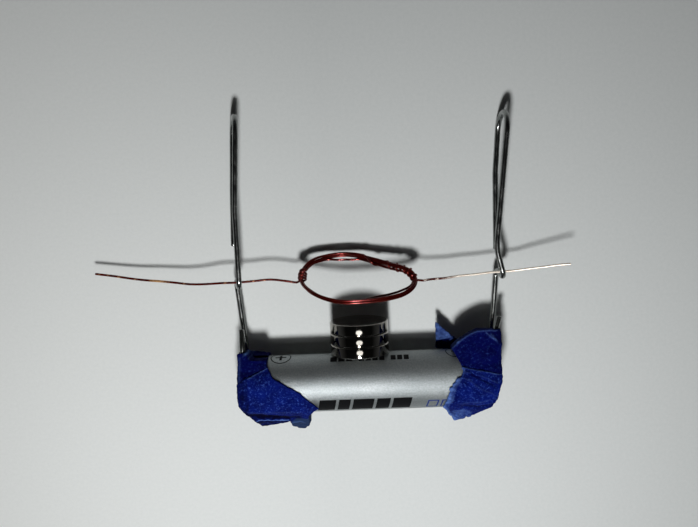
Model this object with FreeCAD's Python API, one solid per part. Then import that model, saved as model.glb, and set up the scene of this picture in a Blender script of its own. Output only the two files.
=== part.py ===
import FreeCAD, Part
import math
import os

# Simple demonstration motor, lying on its back. Millimetres.
# +X runs along the cell towards its flat negative end, +Y from the cell towards the coil and
# the tops of the clips, +Z up off the table, and z = 0 is the table.
# The model is first built about the middle of the cell, then moved so that the origin is the
# middle of the underside of its bounding box.

os.makedirs("parts", exist_ok=True)
Vector = FreeCAD.Vector

# ---- driving dimensions ----------------------------------------------------------------------
CELL_LENGTH = 44.0        # AAA cell over its nub
CELL_RADIUS = 5.25        # over the printed sleeve
SLEEVE_WALL = 0.13
CAN_RADIUS = 5.10
CAN_WALL = 0.20
NUB_RADIUS = 1.9
NUB_HEIGHT = 1.0
CAP_RADIUS = 3.9
CAP_WALL = 0.25
CATHODE_INNER_RADIUS = 3.30
CATHODE_COUNT = 3
PIN_RADIUS = 0.6

TAPE = 0.35               # a few layers of crepe tape
END_TAPE = 0.25           # pulled thinner over the clips
FIT = 0.02                # slack between pieces that touch

MAGNET_RADIUS = 5.0
MAGNET_THICKNESS = 2.0
MAGNET_BEVEL = 0.22
MAGNET_X = -1.4

CLIP_WIRE_RADIUS = 0.5    # steel wire of a 33 mm paper clip
UPPER_HOOK_WIDTH = 7.0    # between wire centres
LOWER_HOOK_WIDTH = 4.8
CRADLE_BEND = 1.2         # centre-line radius of the bends beside the axle
LOWER_HOOK_END_Y = 12.0   # free end of the lower hook
LOWER_HOOK_BOTTOM_Y = -4.6
LEG_BEND_Y = 6.0          # where the lower leg leaves the end of the cell
LEG_BEND = 20.0           # radius of the slight bends in the legs
WAIST_BEND = 8.0
CREST_STEP = 1.6          # crest of the lower leg beyond the bottom of the cradle
CRADLE_HEIGHT = 4.6       # the upper hook's near leg above the lower leg
HOOK_DIP_START_Y = 22.0   # from here the upper hook leans down to rest on the table

COIL_WIRE_RADIUS = 0.225
COIL_HALF_LENGTH = 9.85   # centre line of the bundle, along the axle
COIL_HALF_WIDTH = 5.35    # centre line of the bundle, across the axle
COIL_END_BEND = 4.2       # radius of the oval's tight ends
COIL_TURN_PITCH = 0.47
COIL_X = -1.12
COIL_TILT = 47.0          # degrees, the arc beside the magnets is raised
AXLE_Y = 19.25
BINDING_RADIUS = 0.99     # of the wire's end wound round the bundle
LEFT_TIP_X = -49.65
RIGHT_TIP_X = 36.2
AXLE_SLACK = 0.07         # lead above the bottom of its cradle
STRAIGHT_HALF = 3.0       # straight part of a lead to each side of its cradle

# ---- derived dimensions ----------------------------------------------------------------------
CELL_Z = CELL_RADIUS + TAPE
HALF_CELL = CELL_LENGTH / 2.0
SHOULDER_X = -HALF_CELL + NUB_HEIGHT
CLIP_X = HALF_CELL + CLIP_WIRE_RADIUS + FIT
TAPE_END_X = CLIP_X + CLIP_WIRE_RADIUS + END_TAPE
LOWER_LEG_Z = CELL_Z - LOWER_HOOK_WIDTH / 2.0 - 0.1
NEAR_LEG_Z = LOWER_LEG_Z + CRADLE_HEIGHT
FAR_LEG_Z = NEAR_LEG_Z - UPPER_HOOK_WIDTH
AXLE_Z = NEAR_LEG_Z - CRADLE_BEND
VALLEY_Y = AXLE_Y - COIL_WIRE_RADIUS - CLIP_WIRE_RADIUS - AXLE_SLACK
CLIP_TOPS_Y = {"left": 48.8, "right": 47.3}
TAPE_BOTTOM_Y = -10.7

X_MIDDLE = (LEFT_TIP_X + RIGHT_TIP_X) / 2.0
Y_MIDDLE = (CLIP_TOPS_Y["left"] + CLIP_WIRE_RADIUS + TAPE_BOTTOM_Y) / 2.0
TO_ORIGIN = Vector(-X_MIDDLE, -Y_MIDDLE, 0.0)


# ---- helpers ---------------------------------------------------------------------------------
def save(name, shape):
    """Move a finished shape to the origin of the whole and write it."""
    placed = shape.copy()
    placed.translate(TO_ORIGIN)
    placed.exportStep("parts/" + name + ".step")
    box = placed.BoundBox
    print(f"{name:22s} solids {len(placed.Solids)} valid {placed.isValid()} volume {placed.Volume:9.3f}"
          f"  x {box.XMin:7.2f} {box.XMax:7.2f}  y {box.YMin:7.2f} {box.YMax:7.2f}"
          f"  z {box.ZMin:6.2f} {box.ZMax:6.2f}")


def turned(profile):
    """Turn a closed (x, radius) profile about the cell's axis."""
    corners = [Vector(x, radius, 0.0) for x, radius in profile]
    face = Part.Face(Part.makePolygon(corners + corners[:1]))
    solid = face.revolve(Vector(0, 0, 0), Vector(1, 0, 0), 360)
    solid.translate(Vector(0, 0, CELL_Z))
    return solid


def tube(x_start, x_end, outer, inner):
    """A plain tube or rod along the cell's axis."""
    return turned([(x_start, inner), (x_start, outer), (x_end, outer), (x_end, inner)])


def prism(outline, height, base):
    """Raise a closed (x, y) outline from z = base."""
    corners = [Vector(x, y, base) for x, y in outline]
    face = Part.Face(Part.makePolygon(corners + corners[:1]))
    return face.extrude(Vector(0, 0, height))


def rounded_path(points, radii):
    """Straight runs joined by tangent arcs; radii belong to the inner points."""
    edges = []
    run_start = points[0]
    for before, corner, after, radius in zip(points, points[1:], points[2:], radii):
        arriving = (corner - before).normalize()
        leaving = (after - corner).normalize()
        turn = arriving.getAngle(leaving)
        setback = radius * math.tan(turn / 2.0)
        arc_start = corner - arriving * setback
        arc_end = corner + leaving * setback
        inward = (leaving - arriving).normalize()
        arc_middle = corner + inward * (radius / math.cos(turn / 2.0) - radius)
        if (arc_start - run_start).Length > 0.001:
            edges.append(Part.LineSegment(run_start, arc_start).toShape())
        edges.append(Part.Arc(arc_start, arc_middle, arc_end).toShape())
        run_start = arc_end
    if (points[-1] - run_start).Length > 0.001:
        edges.append(Part.LineSegment(run_start, points[-1]).toShape())
    return Part.Wire(edges)


def wire_along(path, radius):
    """Round wire swept along a path."""
    first = path.OrderedEdges[0]
    start = first.valueAt(first.FirstParameter)
    direction = first.tangentAt(first.FirstParameter)
    section = Part.Wire(Part.makeCircle(radius, start, direction))
    return path.makePipeShell([section], True, False)


def gentle_path(points):
    """A path whose arcs are as large as its runs allow."""
    radii = []
    for before, corner, after in zip(points, points[1:], points[2:]):
        turn = (corner - before).getAngle(after - corner)
        shorter = min((corner - before).Length, (after - corner).Length)
        radii.append(0.45 * shorter / math.tan(turn / 2.0))
    return rounded_path(points, radii)


# ---- the cell --------------------------------------------------------------------------------
def cell_can():
    """Drawn steel can: its closed end carries the positive nub, its open end is crimped."""
    rim_x = HALF_CELL - CAP_WALL
    inside = CAN_RADIUS - CAN_WALL
    return turned([
        (-HALF_CELL, 0.0),
        (-HALF_CELL, NUB_RADIUS - 0.3),
        (-HALF_CELL + 0.25, NUB_RADIUS),
        (SHOULDER_X, NUB_RADIUS),
        (SHOULDER_X, CAN_RADIUS - 0.4),
        (SHOULDER_X + 0.3, CAN_RADIUS),
        (rim_x - 0.3, CAN_RADIUS),
        (rim_x, inside),
        (rim_x, CAP_RADIUS + 0.4),
        (rim_x - CAN_WALL, CAP_RADIUS + 0.4),
        (rim_x - 0.4, inside),
        (SHOULDER_X + 0.35, inside),
        (SHOULDER_X + CAN_WALL, inside - 0.2),
        (SHOULDER_X + CAN_WALL, NUB_RADIUS - CAN_WALL),
        (-HALF_CELL + CAN_WALL, NUB_RADIUS - CAN_WALL),
        (-HALF_CELL + CAN_WALL, 0.0),
    ])


def cell_label():
    """Printed sleeve, shrunk over both shoulders of the can."""
    inside = CELL_RADIUS - SLEEVE_WALL
    return turned([
        (SHOULDER_X - 0.13, 3.4),
        (SHOULDER_X - 0.13, 4.9),
        (SHOULDER_X + 0.15, CELL_RADIUS),
        (HALF_CELL - 0.35, CELL_RADIUS),
        (HALF_CELL - 0.12, 4.95),
        (HALF_CELL - 0.12, 4.5),
        (HALF_CELL - 0.23, 4.5),
        (HALF_CELL - 0.23, 4.94),
        (HALF_CELL - 0.38, inside),
        (SHOULDER_X + 0.23, inside),
        (SHOULDER_X - FIT, 4.75),
        (SHOULDER_X - FIT, 3.4),
    ])


CATHODE_START_X = SHOULDER_X + 0.37
CATHODE_END_X = 17.1
SEAL_DISC_X = 18.7


def cathode_ring(number):
    """One pressed ring of cathode mix, counted from the closed end."""
    pitch = (CATHODE_END_X - CATHODE_START_X) / CATHODE_COUNT
    start = CATHODE_START_X + number * pitch
    outer = CAN_RADIUS - CAN_WALL - FIT
    return tube(start, start + pitch - FIT, outer, CATHODE_INNER_RADIUS)


def separator():
    """Paper cup between the cathode rings and the anode gel."""
    outer = CATHODE_INNER_RADIUS - FIT
    wall = 0.2
    floor = CATHODE_START_X + wall
    return turned([
        (CATHODE_START_X, 0.0),
        (CATHODE_START_X, outer),
        (SEAL_DISC_X - 0.1, outer),
        (SEAL_DISC_X - 0.1, outer - wall),
        (floor, outer - wall),
        (floor, 0.0),
    ])


def anode_gel():
    """Zinc gel, filled round the collector pin."""
    start = CATHODE_START_X + 0.2 + FIT
    pin_start = -6.0
    outer = CATHODE_INNER_RADIUS - 0.2 - 2 * FIT
    return turned([
        (start, 0.0),
        (start, outer),
        (17.5, outer),
        (17.5, PIN_RADIUS + FIT),
        (pin_start - FIT, PIN_RADIUS + FIT),
        (pin_start - FIT, 0.0),
    ])


def current_collector():
    """Brass nail that carries the current from the gel to the negative cap."""
    head_x = HALF_CELL - CAP_WALL - FIT
    return turned([
        (-6.0, 0.0),
        (-5.6, PIN_RADIUS),
        (head_x - 0.4, PIN_RADIUS),
        (head_x - 0.4, 2 * PIN_RADIUS),
        (head_x, 2 * PIN_RADIUS),
        (head_x, 0.0),
    ])


def cell_seal():
    """Nylon seal: hub on the pin, thin disc, and a rim under the crimp."""
    bore = PIN_RADIUS + FIT
    rim = CAN_RADIUS - CAN_WALL - 2 * FIT
    return turned([
        (SEAL_DISC_X - 1.0, bore),
        (SEAL_DISC_X - 1.0, 1.4),
        (SEAL_DISC_X, 1.6),
        (SEAL_DISC_X, rim),
        (HALF_CELL - 0.68, rim),
        (HALF_CELL - 0.68, rim - 0.4),
        (SEAL_DISC_X + 0.7, rim - 0.4),
        (SEAL_DISC_X + 0.7, 1.4),
        (HALF_CELL - 1.05, 1.4),
        (HALF_CELL - 1.05, bore),
    ])


def negative_cap():
    """Flat steel cap with a skirt and a rim that sits under the can's crimp."""
    brim = CAP_RADIUS + 0.5
    return turned([
        (HALF_CELL, 0.0),
        (HALF_CELL, CAP_RADIUS - 0.2),
        (HALF_CELL - 0.15, CAP_RADIUS),
        (HALF_CELL - 0.6, CAP_RADIUS),
        (HALF_CELL - 0.6, brim),
        (HALF_CELL - 0.8, brim),
        (HALF_CELL - 0.8, CAP_RADIUS - 0.22),
        (HALF_CELL - CAP_WALL, CAP_RADIUS - 0.26),
        (HALF_CELL - CAP_WALL, 0.0),
    ])


# ---- the magnets -----------------------------------------------------------------------------
def magnet(number):
    """One nickel-plated disc of the stack on the side of the cell."""
    base = CELL_RADIUS + FIT + number * (MAGNET_THICKNESS + FIT / 2.0)
    disc = Part.makeCylinder(MAGNET_RADIUS, MAGNET_THICKNESS, Vector(MAGNET_X, base, CELL_Z), Vector(0, 1, 0))
    rims = [edge for edge in disc.Edges if isinstance(edge.Curve, Part.Circle)]
    return disc.makeChamfer(MAGNET_BEVEL, rims)


# ---- the clips -------------------------------------------------------------------------------
# Where each clip's wire runs in X, or in X and Y: the lower hook lies on the end of the cell, and
# the upper hook leans and bows as bent by hand.
CLIP_STATIONS = {
    "left": {
        "hook_end": -22.6, "cell": -CLIP_X, "leg": (-23.1, 12.6), "crest": -23.7, "valley": -22.4,
        "waist": (-22.38, 32.0), "near_top": -21.24, "far_top": -22.95, "bow": (-23.85, 34.0),
        "end": (-24.2, 25.4),
    },
    "right": {
        "hook_end": 23.15, "cell": CLIP_X, "leg": (23.35, 12.3), "crest": 24.0, "valley": 24.6,
        "waist": (23.5, 23.6), "near_top": 26.3, "far_top": 25.7, "bow": (24.35, 36.5),
        "end": (24.4, 22.8),
    },
}


def clip_path(side):
    """Centre line of an unfolded clip: lower hook, crest, axle cradle, upper hook."""
    x = CLIP_STATIONS[side]
    top = CLIP_TOPS_Y[side]
    slope = math.atan2(CREST_STEP, NEAR_LEG_Z - LOWER_LEG_Z)
    turn = math.pi / 2.0 + slope
    corner_depth = CRADLE_BEND * (math.tan(turn / 2.0) - 1.0)
    valley = VALLEY_Y - corner_depth
    dip_per_mm = (FAR_LEG_Z - CLIP_WIRE_RADIUS - FIT) / (top - UPPER_HOOK_WIDTH / 2.0 - HOOK_DIP_START_Y)
    free_leg_z = LOWER_LEG_Z + LOWER_HOOK_WIDTH

    def dipped(station, z):
        """A station of the upper hook, leaning down towards the table."""
        return Vector(station[0], station[1], z - dip_per_mm * (station[1] - HOOK_DIP_START_Y))

    points = [
        Vector(x["hook_end"], LOWER_HOOK_END_Y, free_leg_z),
        Vector(x["cell"], LOWER_HOOK_BOTTOM_Y, free_leg_z),
        Vector(x["cell"], LOWER_HOOK_BOTTOM_Y, LOWER_LEG_Z),
        Vector(x["cell"], LEG_BEND_Y, LOWER_LEG_Z),
        Vector(*x["leg"], LOWER_LEG_Z),
        Vector(x["crest"], valley + CREST_STEP, LOWER_LEG_Z),
        Vector(x["valley"], valley, NEAR_LEG_Z),
        dipped(x["waist"], NEAR_LEG_Z),
        dipped((x["near_top"], top), NEAR_LEG_Z),
        dipped((x["far_top"], top), FAR_LEG_Z),
        dipped(x["bow"], FAR_LEG_Z),
        dipped(x["end"], FAR_LEG_Z),
    ]
    lower_hook = LOWER_HOOK_WIDTH / 2.0
    upper_hook = UPPER_HOOK_WIDTH / 2.0 - 0.05
    radii = [lower_hook, lower_hook, LEG_BEND, LEG_BEND, CRADLE_BEND, CRADLE_BEND, WAIST_BEND]
    return rounded_path(points, radii + [upper_hook, upper_hook, LEG_BEND])


def clip(side):
    """A paper clip, unfolded once and taped to the end of the cell."""
    return wire_along(clip_path(side), CLIP_WIRE_RADIUS)


# ---- the tape --------------------------------------------------------------------------------
# Outlines seen from above, and a section across the cell that they are cut from.
LEFT_SEAM = [(-TAPE_END_X, 1.7), (-21.0, 2.6), (-18.0, 4.0)]
RIGHT_SEAM = [(23.45, 1.6), (22.2, 1.8), (19.6, 2.4), (16.7, 2.95)]
LEFT_STRIP = LEFT_SEAM + [(-18.3, 6.6), (-20.2, 7.4), (-21.9, 6.8), (-TAPE_END_X, 6.5)]
LEFT_WRAP = LEFT_SEAM + [
    (-17.1, 2.3), (-15.2, 1.3), (-12.2, -0.6), (-9.2, -3.7), (-11.4, -5.3), (-11.6, -8.9),
    (-11.9, -9.9), (-12.6, TAPE_BOTTOM_Y), (-13.5, TAPE_BOTTOM_Y), (-14.3, -9.8), (-15.6, -8.8),
    (-21.2, -10.1), (-22.5, -8.6), (-TAPE_END_X, -6.0),
]
RIGHT_STRIP = RIGHT_SEAM + [
    (15.9, 4.7), (14.9, 6.2), (15.4, 6.6), (16.8, 7.8), (18.2, 8.7), (19.6, 9.25), (23.75, 9.25), (23.75, 8.2),
]
RIGHT_WRAP = RIGHT_SEAM + [
    (16.75, 1.85), (15.5, 1.0), (14.5, -0.4), (14.0, -2.7), (13.2, -4.1), (13.5, -6.3), (15.5, -7.9),
    (15.7, -9.8), (21.1, -7.8), (22.9, -6.2), (TAPE_END_X, -4.0),
]
RIGHT_FLAP = [(12.6, 4.9), (15.5, 4.15), (17.6, 4.15), (17.4, 5.4), (16.6, 6.5), (12.6, 9.6)]


def tape_section(top_y, bottom_y):
    """Section of the taped end: snug over the cell, flat beneath, pinched to a fin in front and
    drawn out over the free leg of the clip behind."""
    skin = CELL_RADIUS + TAPE
    crown = Vector(0, 0, CELL_Z + skin)
    shoulder = math.radians(38.0)
    front = Vector(0, -skin * math.cos(shoulder), CELL_Z + skin * math.sin(shoulder))
    back = Vector(0, skin * math.sin(shoulder), CELL_Z + skin * math.cos(shoulder))
    over = Part.Arc(back, crown, front).toShape()
    rest = Part.makePolygon([
        front,
        Vector(0, bottom_y, 1.3),
        Vector(0, bottom_y, 0.0),
        Vector(0, 3.2, 0.0),
        Vector(0, 4.6, 1.9),
        Vector(0, skin + 0.05, CELL_Z - 1.4),
        Vector(0, skin + 0.05, CELL_Z + 1.0),
        Vector(0, top_y, NEAR_LEG_Z - 0.8),
        Vector(0, top_y, NEAR_LEG_Z + 0.95),
        back,
    ])
    return Part.Face(Part.Wire([over] + rest.Edges))


def cell_and_clip(side):
    """What the tape is wrapped round, with a little slack."""
    core = tube(SHOULDER_X - 0.15, HALF_CELL - 0.1, CELL_RADIUS + FIT, 0.0)
    core = core.fuse(tube(-HALF_CELL - FIT, SHOULDER_X - 0.1, NUB_RADIUS + FIT, 0.0))
    core = core.fuse(tube(HALF_CELL - 0.2, HALF_CELL + FIT, CAP_RADIUS + 0.5, 0.0))
    return core.fuse(wire_along(clip_path(side), CLIP_WIRE_RADIUS + FIT))


def tape_piece(side, outline, top_y, bottom_y):
    """One strip of tape: its outline from above, cut from the section, hollow for cell and clip."""
    section = tape_section(top_y, bottom_y)
    section.translate(Vector(-30, 0, 0))
    body = section.extrude(Vector(60, 0, 0))
    body = body.common(prism(outline, 20.0, -1.0))
    body = body.cut(cell_and_clip(side))
    return max(body.Solids, key=lambda solid: solid.Volume)


def right_tape_strip():
    """The right strip, with the loose corner that lies beside the sleeve."""
    flap = prism(RIGHT_FLAP, TAPE, 1.9)
    strip = tape_piece("right", RIGHT_STRIP, 9.25, -5.0)
    return strip.fuse(flap).removeSplitter()


# ---- the rotor -------------------------------------------------------------------------------
COIL_CENTRE = Vector(COIL_X, AXLE_Y, AXLE_Z)
ACROSS = Vector(0, math.cos(math.radians(COIL_TILT)), -math.sin(math.radians(COIL_TILT)))
NORMAL = Vector(1, 0, 0).cross(ACROSS)


def coil_point(along, across, lift=0.0):
    """A point in the plane of the coil."""
    return COIL_CENTRE + Vector(along, 0, 0) + ACROSS * across + NORMAL * lift


def oval(offset, lift):
    """Four-arc oval, parallel to the centre line of the bundle."""
    end = COIL_END_BEND
    rise = COIL_HALF_LENGTH - end
    side = (rise ** 2 + COIL_HALF_WIDTH ** 2 - end ** 2) / (2.0 * (COIL_HALF_WIDTH - end))
    drop = side - COIL_HALF_WIDTH
    swing = math.atan2(drop, rise)
    half_length = COIL_HALF_LENGTH + offset
    half_width = COIL_HALF_WIDTH + offset
    joint_x = rise + (end + offset) * math.cos(swing)
    joint_y = (end + offset) * math.sin(swing)
    far_side = [(joint_x, joint_y), (0.0, half_width), (-joint_x, joint_y)]
    left_end = [(-joint_x, joint_y), (-half_length, 0.0), (-joint_x, -joint_y)]
    near_side = [(-joint_x, -joint_y), (0.0, -half_width), (joint_x, -joint_y)]
    right_end = [(joint_x, -joint_y), (half_length, 0.0), (joint_x, joint_y)]
    arcs = []
    for three in (far_side, left_end, near_side, right_end):
        stations = [coil_point(along, across, lift) for along, across in three]
        arcs.append(Part.Arc(*stations).toShape())
    return Part.Wire(arcs)


def coil_turn(number):
    """One turn of the bundle: three turns in the lower layer and two nested on them."""
    if number < 3:
        offset = (number - 1) * COIL_TURN_PITCH
        lift = 0.0
    else:
        offset = (number - 3.5) * COIL_TURN_PITCH
        lift = COIL_TURN_PITCH * math.sin(math.radians(60))
    return wire_along(oval(offset, lift), COIL_WIRE_RADIUS)


def binding_ring(distance):
    """One wrap of the wire's end round the bundle, at a distance along the centre line."""
    centre_line = oval(0.0, COIL_TURN_PITCH * math.sin(math.radians(60)) / 2.0)
    distance = distance % centre_line.Length
    for edge in centre_line.OrderedEdges:
        if distance <= edge.Length:
            parameter = edge.getParameterByLength(distance)
            centre = edge.valueAt(parameter)
            direction = edge.tangentAt(parameter)
            return Part.makeTorus(BINDING_RADIUS, COIL_WIRE_RADIUS, centre, direction)
        distance -= edge.Length


def binding(start, pitch, count):
    """A group of wraps, evenly spaced along the bundle."""
    return Part.makeCompound([binding_ring(start + number * pitch) for number in range(count)])


def lead(side):
    """A lead: out from the coil, through its cradle on the axis of the coil, and on to its tip."""
    if side == "left":
        start = COIL_X - COIL_HALF_LENGTH - BINDING_RADIUS - COIL_WIRE_RADIUS - FIT
        cradle = (CLIP_STATIONS["left"]["crest"] + CLIP_STATIONS["left"]["valley"]) / 2.0
        stations = [
            (start, -0.45, 0.1), (-15.8, 0.15, 0.25), (cradle + STRAIGHT_HALF, 0.0, 0.0),
            (cradle - STRAIGHT_HALF, 0.0, 0.0), (-30.2, -0.15, -0.8), (-35.3, 0.3, -1.5),
            (-41.7, 1.05, -2.15), (LEFT_TIP_X, 2.3, -2.8),
        ]
    else:
        start = COIL_X + COIL_HALF_LENGTH + BINDING_RADIUS + COIL_WIRE_RADIUS + FIT
        cradle = (CLIP_STATIONS["right"]["crest"] + CLIP_STATIONS["right"]["valley"]) / 2.0
        stations = [
            (start, -0.75, 0.1), (13.7, -0.75, 0.1), (17.7, -0.35, 0.1),
            (cradle - STRAIGHT_HALF, 0.0, 0.0), (cradle + STRAIGHT_HALF, 0.0, 0.0),
            (31.0, 0.6, 1.2), (RIGHT_TIP_X, 1.2, 2.5),
        ]
    points = [Vector(x, AXLE_Y + forward, AXLE_Z + up) for x, forward, up in stations]
    return wire_along(gentle_path(points), COIL_WIRE_RADIUS)


# ---- write every piece -----------------------------------------------------------------------
save("cell_can", cell_can())
save("cell_label", cell_label())
for number in range(CATHODE_COUNT):
    save(f"cathode_ring_{number + 1}", cathode_ring(number))
save("separator", separator())
save("anode_gel", anode_gel())
save("current_collector", current_collector())
save("cell_seal", cell_seal())
save("negative_cap", negative_cap())

for number, name in enumerate(("magnet_lower", "magnet_middle", "magnet_upper")):
    save(name, magnet(number))

save("left_clip", clip("left"))
save("right_clip", clip("right"))

save("left_tape_strip", tape_piece("left", LEFT_STRIP, 7.6, -5.0))
save("left_tape_wrap", tape_piece("left", LEFT_WRAP, 7.6, TAPE_BOTTOM_Y))
save("right_tape_strip", right_tape_strip())
save("right_tape_wrap", tape_piece("right", RIGHT_WRAP, 9.25, -9.8))

save("coil_turns", Part.makeCompound([coil_turn(number) for number in range(5)]))
half_oval = oval(0.0, 0.0).Length / 2.0
first_arc = oval(0.0, 0.0).OrderedEdges[0].Length
left_end_middle = first_arc + oval(0.0, 0.0).OrderedEdges[1].Length / 2.0
save("left_binding", binding(left_end_middle - 2.0, 0.5, 3))
save("right_binding", binding(left_end_middle + half_oval, 1.4, 6))
save("left_lead", lead("left"))
save("right_lead", lead("right"))

print("axle at", [round(value, 4) for value in (0.0, AXLE_Y - Y_MIDDLE, AXLE_Z)])
print("cell axis at", [round(value, 4) for value in (-X_MIDDLE, -Y_MIDDLE, CELL_Z)])
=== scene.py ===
import math

import bmesh
import bpy
import numpy as np
from mathutils import Matrix, Vector, noise


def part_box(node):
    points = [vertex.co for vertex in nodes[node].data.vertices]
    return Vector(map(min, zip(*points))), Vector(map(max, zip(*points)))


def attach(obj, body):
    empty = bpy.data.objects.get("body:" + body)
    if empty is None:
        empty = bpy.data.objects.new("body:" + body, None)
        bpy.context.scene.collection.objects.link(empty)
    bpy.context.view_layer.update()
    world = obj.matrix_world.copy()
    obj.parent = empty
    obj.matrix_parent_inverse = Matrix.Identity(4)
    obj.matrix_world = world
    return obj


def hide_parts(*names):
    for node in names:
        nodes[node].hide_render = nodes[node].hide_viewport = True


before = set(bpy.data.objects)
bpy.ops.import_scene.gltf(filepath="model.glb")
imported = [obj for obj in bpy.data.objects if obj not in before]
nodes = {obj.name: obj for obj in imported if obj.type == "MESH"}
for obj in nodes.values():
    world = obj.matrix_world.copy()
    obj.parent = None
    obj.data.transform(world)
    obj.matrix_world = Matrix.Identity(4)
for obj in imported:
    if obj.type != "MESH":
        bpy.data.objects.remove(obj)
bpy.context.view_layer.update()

# The motor lies on its back. Helpers take millimetres from the middle of the cell in x and y and
# above the table in z; every mesh is written in metres.
MM = 0.001
label_low, label_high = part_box("cell_label")
can_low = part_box("cell_can")[0]
cap_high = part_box("negative_cap")[1]
MIDDLE = Vector(((can_low.x + cap_high.x) / 2, (label_low.y + label_high.y) / 2, 0.0))
CELL_RADIUS = (label_high.z - label_low.z) / 2 / MM
CELL_Z = (label_high.z + label_low.z) / 2 / MM
SLEEVE_START = (label_low.x - MIDDLE.x) / MM
SLEEVE_END = (label_high.x - MIDDLE.x) / MM


def at(x, y, z):
    """A point in metres from millimetres about the middle of the cell."""
    return MIDDLE + Vector((x, y, z)) * MM


# ---- meshes ----
def linked(name, data):
    """A new object in the scene."""
    made = bpy.data.objects.new(name, data)
    bpy.context.scene.collection.objects.link(made)
    return made


def add_piece(name, mesh, body, material, slot, replaced=(), smooth=True):
    """Link a mesh as a piece of the motor, parent it to the empty of its body and hide the nodes it
    replaces.
    """
    piece = linked(name, mesh)
    mesh.materials.clear()
    mesh.materials.append(material)
    if smooth:
        mesh.polygons.foreach_set("use_smooth", [True] * len(mesh.polygons))
    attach(piece, body)
    if replaced:
        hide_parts(*replaced)


def mesh_from(name, points, faces):
    """A mesh from points in millimetres about the middle of the cell."""
    mesh = bpy.data.meshes.new(name)
    mesh.from_pydata([at(*point) for point in points], [], faces)
    mesh.update()
    return mesh


def set_attribute(mesh, name, values):
    """Store one number per vertex for the materials to read."""
    attribute = mesh.attributes.new(name, "FLOAT", "POINT")
    attribute.data.foreach_set("value", values)


def eased(low, high, value):
    """0 at low and 1 at high, eased between and level beyond, for a number or an array."""
    part = np.clip((value - low) / (high - low), 0.0, 1.0)
    return part * part * (3.0 - 2.0 * part)


def ring_frames(points):
    """Twist-free sections along a line of points: (tangent, side, up) for each."""
    frames = []
    side = None
    for index, point in enumerate(points):
        before = points[max(index - 1, 0)]
        after = points[min(index + 1, len(points) - 1)]
        tangent = (after - before).normalized()
        if side is None:
            side = tangent.orthogonal().normalized()
        side = (side - tangent * side.dot(tangent)).normalized()
        frames.append((tangent, side, tangent.cross(side)))
    return frames


def circle_points(centre, side, up, radius, sides):
    """Points round a centre, in the plane of side and up."""
    made = []
    for number in range(sides):
        angle = math.tau * number / sides
        made.append(centre + (side * math.cos(angle) + up * math.sin(angle)) * radius)
    return made


def skin(rings, sides):
    """Four-cornered faces between neighbouring rings of points."""
    faces = []
    for start in range(0, (rings - 1) * sides, sides):
        for number in range(sides):
            here = start + number
            beside = start + (number + 1) % sides
            faces.append((here, beside, beside + sides, here + sides))
    return faces


# Rings of a wire's domed end: (share of the radius, how far out in radii).
DOME = ((0.92, 0.10), (0.70, 0.20), (0.36, 0.27))


def wire(name, points, radius, sides, piece, first=0, last=None):
    """Round wire along part of a line of points, with softly domed ends. The attribute "along" says
    how far from its start each vertex lies, in millimetres; piece is the rest for add_piece."""
    last = len(points) - 1 if last is None else last
    frames = ring_frames(points)
    lengths = [0.0]
    for before, after in zip(points[first:last], points[first + 1:last + 1]):
        lengths.append(lengths[-1] + (after - before).length)
    rings = [(first, -push, scale) for scale, push in reversed(DOME)]
    rings += [(index, 0.0, 1.0) for index in range(first, last + 1)]
    rings += [(last, push, scale) for scale, push in DOME]
    vertices = []
    along = []
    for index, push, scale in rings:
        tangent, side, up = frames[index]
        centre = points[index] + tangent * push * radius
        vertices += circle_points(centre, side, up, radius * scale, sides)
        along += [lengths[index - first]] * sides
    faces = skin(len(rings), sides)
    faces.append(tuple(reversed(range(sides))))
    faces.append(tuple(range(len(vertices) - sides, len(vertices))))
    mesh = mesh_from(name, vertices, faces)
    set_attribute(mesh, "along", along)
    add_piece(name, mesh, *piece)


def lathe(name, profile, sides, axis_point, axis, piece):
    """Turn a (distance along the axis, radius) profile; closed at the axis where the radius is 0."""
    side = axis.orthogonal().normalized()
    up = axis.cross(side)
    vertices = []
    for distance, radius in profile:
        vertices += circle_points(axis_point + axis * distance, side, up, radius, sides)
    mesh = mesh_from(name, vertices, skin(len(profile), sides))
    work = bmesh.new()
    work.from_mesh(mesh)
    bmesh.ops.remove_doubles(work, verts=work.verts, dist=1e-7)
    bmesh.ops.recalc_face_normals(work, faces=work.faces)
    work.to_mesh(mesh)
    work.free()
    add_piece(name, mesh, *piece)


def rounded_corner(centre_distance, centre_radius, bend, start, end, steps=6):
    """Points of a rounded profile corner, as (distance, radius)."""
    points = []
    for step in range(steps + 1):
        angle = math.radians(start + (end - start) * step / steps)
        points.append((centre_distance + bend * math.sin(angle), centre_radius + bend * math.cos(angle)))
    return points


# ---- materials ----
class Nodes:
    """A node tree, with short calls to add and join nodes."""

    def __init__(self, owner):
        owner.use_nodes = True
        self.tree = owner.node_tree

    def add(self, kind, inputs=None, **settings):
        """A node with these settings, its inputs set or joined by name or number."""
        node = self.tree.nodes.new(kind)
        for key, value in settings.items():
            setattr(node, key, value)
        for key, value in (inputs or {}).items():
            socket = node.inputs[key]
            if isinstance(value, bpy.types.NodeSocket):
                self.tree.links.new(value, socket)
            else:
                socket.default_value = value
        return node

    def spread(self, value, low, high, to_low=0.0, to_high=1.0):
        values = {"Value": value, "From Min": low, "From Max": high, "To Min": to_low, "To Max": to_high}
        return self.add("ShaderNodeMapRange", values, clamp=True).outputs[0]

    def camera_ray(self):
        """1 for what the camera sees directly, 0 for reflections and for light."""
        return self.add("ShaderNodeLightPath").outputs["Is Camera Ray"]


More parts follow.
